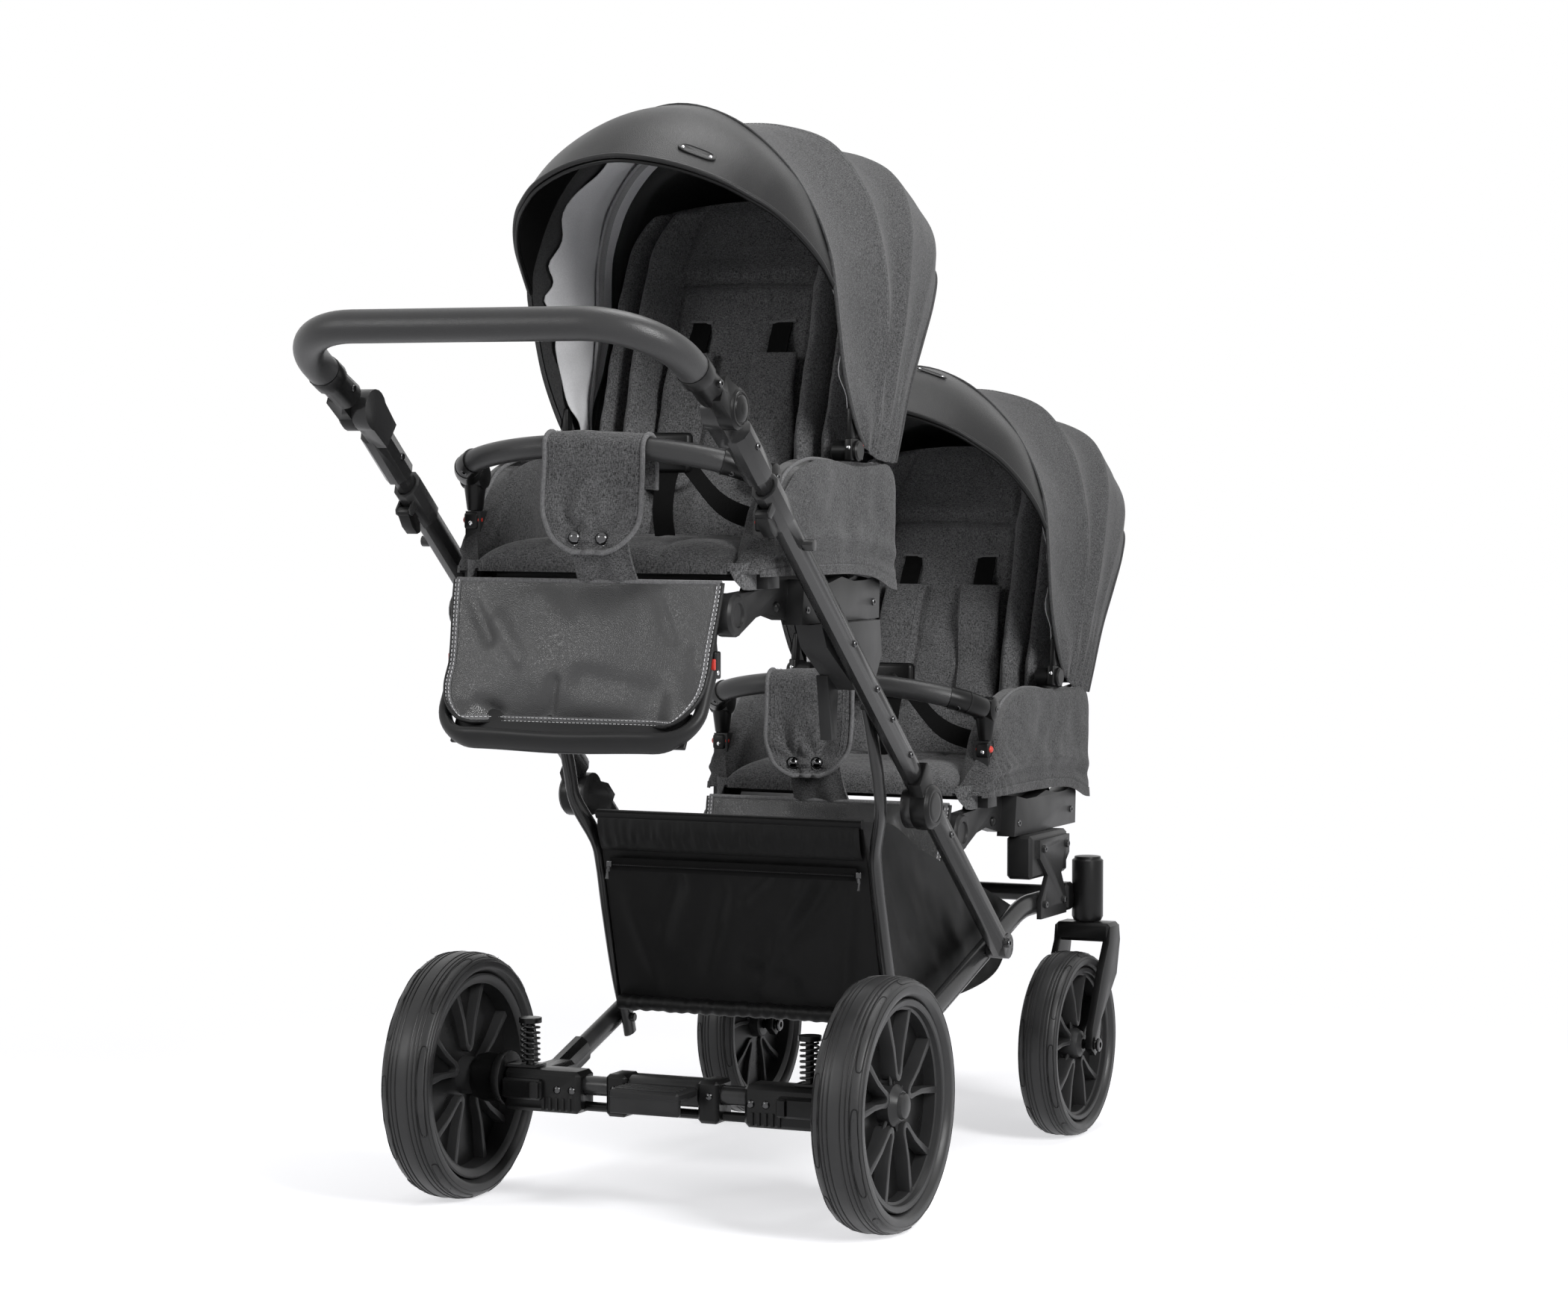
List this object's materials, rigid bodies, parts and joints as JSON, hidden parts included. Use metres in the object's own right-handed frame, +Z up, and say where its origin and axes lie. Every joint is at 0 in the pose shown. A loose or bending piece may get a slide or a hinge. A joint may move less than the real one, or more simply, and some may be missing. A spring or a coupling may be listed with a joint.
{
  "type": "double stroller",
  "caption": "Tandem twin pushchair with a high and a low seat, hoods, bumper bars, footrests, basket, telescopic tilting handle, sprung rear wheels and swivelling front wheels",
  "frame": {"origin": "middle of the bounding box across and along, on the ground under the wheels", "axes": "+X across to the right of the person who pushes, +Y the way it travels, +Z up"},
  "size_m": [0.604, 1.6622, 1.277],
  "materials": {
    "basket fabric": "coated nylon weave",
    "coated tube": "satin powder coat",
    "black plastic": "satin moulded",
    "dark grey plastic": "satin moulded",
    "rim plastic": "satin moulded",
    "tyre rubber": "matt, fine tread",
    "dark leatherette": "soft sheen, fine grain",
    "seat fabric": "melange weave",
    "dark spring steel": "blackened"
  },
  "bodies": {
    "chassis": {"bottom_tube_left": "coated tube", "bottom_tube_right": "coated tube", "front_head_left": "black plastic", "front_head_right": "black plastic", "front_crossbar": "coated tube", "rear_housing_left": "black plastic", "rear_housing_right": "black plastic", "rear_axle_tube": "coated tube", "brake_block": "black plastic", "basket": "basket fabric", "low_seat_adapter_left": "dark grey plastic", "low_seat_adapter_right": "dark grey plastic", "suspension_spring_left": "dark spring steel", "suspension_spring_right": "dark spring steel"},
    "lower_tubes": {"lower_tube_left": "coated tube", "lower_tube_right": "coated tube"},
    "upper_tubes": {"upper_tube_left": "coated tube", "upper_tube_right": "coated tube", "fold_disc_left": "black plastic", "fold_disc_right": "black plastic", "high_seat_adapter_left": "dark grey plastic", "high_seat_adapter_right": "dark grey plastic"},
    "rear_legs": {"rear_leg_left": "coated tube", "rear_leg_right": "coated tube"},
    "telescope": {"telescope_tube_left": "coated tube", "telescope_tube_right": "coated tube"},
    "handle": {"handle_pivot_left": "black plastic", "handle_pivot_right": "black plastic", "handle_grip": "dark leatherette"},
    "clamp_lever_left": {"clamp_lever_left": "black plastic"},
    "clamp_lever_right": {"clamp_lever_right": "black plastic"},
    "brake_pedal": {"brake_pedal": "dark grey plastic"},
    "hub_carrier_left": {"hub_carrier_left": "black plastic"},
    "rear_wheel_left": {"rear_rim_left": "rim plastic", "rear_tyre_left": "tyre rubber"},
    "front_fork_left": {"front_fork_left": "black plastic"},
    "front_wheel_left": {"front_rim_left": "rim plastic", "front_tyre_left": "tyre rubber"},
    "hub_carrier_right": {"hub_carrier_right": "black plastic"},
    "rear_wheel_right": {"rear_rim_right": "rim plastic", "rear_tyre_right": "tyre rubber"},
    "front_fork_right": {"front_fork_right": "black plastic"},
    "front_wheel_right": {"front_rim_right": "rim plastic", "front_tyre_right": "tyre rubber"},
    "high_seat": {"high_seat_frame": "dark grey plastic", "high_seat_pad": "seat fabric"},
    "high_backrest": {"high_backrest": "seat fabric"},
    "high_hood": {"high_hood": "seat fabric"},
    "high_footrest": {"high_footrest": "dark grey plastic", "high_apron": "dark leatherette"},
    "high_bumper": {"high_bumper": "black plastic", "high_crotch_flap": "seat fabric"},
    "low_seat": {"low_seat_frame": "dark grey plastic", "low_seat_pad": "seat fabric"},
    "low_backrest": {"low_backrest": "seat fabric"},
    "low_hood": {"low_hood": "seat fabric"},
    "low_footrest": {"low_footrest": "dark grey plastic", "low_apron": "dark leatherette"},
    "low_bumper": {"low_bumper": "black plastic", "low_crotch_flap": "seat fabric"}
  },
  "joints": [
    {"name": "fold_lower_pivot", "type": "hinge", "parent": "chassis", "child": "lower_tubes", "pos_m": [0, 0.1373, 0.274], "axis": [1, 0, 0], "range_deg": [-2, 0]},
    {"name": "fold_disc_pivot", "type": "hinge", "parent": "lower_tubes", "child": "upper_tubes", "pos_m": [0, -0.1162, 0.4625], "axis": [1, 0, 0], "range_deg": [0, 8.08]},
    {"name": "fold_leg_pivot", "type": "hinge", "parent": "chassis", "child": "rear_legs", "pos_m": [0, -0.0767, 0.186], "axis": [1, 0, 0], "range_deg": [0, 0.76]},
    {"name": "handle_telescope", "type": "slide", "parent": "upper_tubes", "child": "telescope", "axis": [0, -0.771, 0.6369], "range_m": [-0.02, 0.1]},
    {"name": "handle_tilt", "type": "hinge", "parent": "telescope", "child": "handle", "pos_m": [0, -0.6472, 0.92498], "axis": [-1, 0, 0], "range_deg": [-40, 35]},
    {"name": "clamp_lever_left", "type": "hinge", "parent": "upper_tubes", "child": "clamp_lever_left", "pos_m": [-0.2205, -0.55126, 0.81187], "axis": [-1, 0, 0], "range_deg": [0, 70]},
    {"name": "clamp_lever_right", "type": "hinge", "parent": "upper_tubes", "child": "clamp_lever_right", "pos_m": [0.2205, -0.55126, 0.81187], "axis": [-1, 0, 0], "range_deg": [0, 70]},
    {"name": "brake_pedal", "type": "hinge", "parent": "chassis", "child": "brake_pedal", "pos_m": [0, -0.3347, 0.143], "axis": [1, 0, 0], "range_deg": [0, 15]},
    {"name": "suspension_left", "type": "slide", "parent": "chassis", "child": "hub_carrier_left", "axis": [0, 0, 1], "range_m": [0, 0.018], "stiffness_N_per_m": 5000, "springref_m": -0.02, "deforming": ["suspension_spring_left"]},
    {"name": "rear_wheel_spin_left", "type": "hinge", "parent": "hub_carrier_left", "child": "rear_wheel_left", "pos_m": [-0.271, -0.3347, 0.145], "axis": [1, 0, 0], "continuous": true},
    {"name": "front_swivel_left", "type": "hinge", "parent": "chassis", "child": "front_fork_left", "pos_m": [-0.225, 0.4483, 0.268], "axis": [0, 0, 1], "continuous": true},
    {"name": "front_wheel_spin_left", "type": "hinge", "parent": "front_fork_left", "child": "front_wheel_left", "pos_m": [-0.225, 0.3763, 0.118], "axis": [1, 0, 0], "continuous": true},
    {"name": "suspension_right", "type": "slide", "parent": "chassis", "child": "hub_carrier_right", "axis": [0, 0, 1], "range_m": [0, 0.018], "stiffness_N_per_m": 5000, "springref_m": -0.02, "deforming": ["suspension_spring_right"]},
    {"name": "rear_wheel_spin_right", "type": "hinge", "parent": "hub_carrier_right", "child": "rear_wheel_right", "pos_m": [0.271, -0.3347, 0.145], "axis": [1, 0, 0], "continuous": true},
    {"name": "front_swivel_right", "type": "hinge", "parent": "chassis", "child": "front_fork_right", "pos_m": [0.225, 0.4483, 0.268], "axis": [0, 0, 1], "continuous": true},
    {"name": "front_wheel_spin_right", "type": "hinge", "parent": "front_fork_right", "child": "front_wheel_right", "pos_m": [0.225, 0.3763, 0.118], "axis": [1, 0, 0], "continuous": true},
    {"name": "high_seat_lift", "type": "slide", "parent": "upper_tubes", "child": "high_seat", "axis": [0, 0, 1], "range_m": [0, 0.06]},
    {"name": "high_recline", "type": "hinge", "parent": "high_seat", "child": "high_backrest", "pos_m": [0, -0.2097, 0.762], "axis": [-1, 0, 0], "range_deg": [0, 12]},
    {"name": "high_hood_tilt", "type": "hinge", "parent": "high_backrest", "child": "high_hood", "pos_m": [0, -0.2247, 0.88], "axis": [1, 0, 0], "range_deg": [-15, 0]},
    {"name": "high_footrest_tilt", "type": "hinge", "parent": "high_seat", "child": "high_footrest", "pos_m": [0, -0.5147, 0.7015], "axis": [-1, 0, 0], "range_deg": [0, 60]},
    {"name": "high_bumper_lift", "type": "slide", "parent": "high_seat", "child": "high_bumper", "axis": [0, 0, 1], "range_m": [0, 0.06]},
    {"name": "low_seat_lift", "type": "slide", "parent": "chassis", "child": "low_seat", "axis": [0, 0, 1], "range_m": [0, 0.06]},
    {"name": "low_recline", "type": "hinge", "parent": "low_seat", "child": "low_backrest", "pos_m": [0, 0.4473, 0.468], "axis": [-1, 0, 0], "range_deg": [0, 25]},
    {"name": "low_hood_tilt", "type": "hinge", "parent": "low_backrest", "child": "low_hood", "pos_m": [0, 0.4323, 0.586], "axis": [1, 0, 0], "range_deg": [-30, 0]},
    {"name": "low_footrest_tilt", "type": "hinge", "parent": "low_seat", "child": "low_footrest", "pos_m": [0, 0.1423, 0.4075], "axis": [-1, 0, 0], "range_deg": [0, 60]},
    {"name": "low_bumper_lift", "type": "slide", "parent": "low_seat", "child": "low_bumper", "axis": [0, 0, 1], "range_m": [0, 0.06]}
  ],
  "couplings": [
    {"joint": "fold_disc_pivot", "follows": "fold_lower_pivot", "ratio": -4.014},
    {"joint": "fold_leg_pivot", "follows": "fold_lower_pivot", "ratio": -0.353}
  ]
}
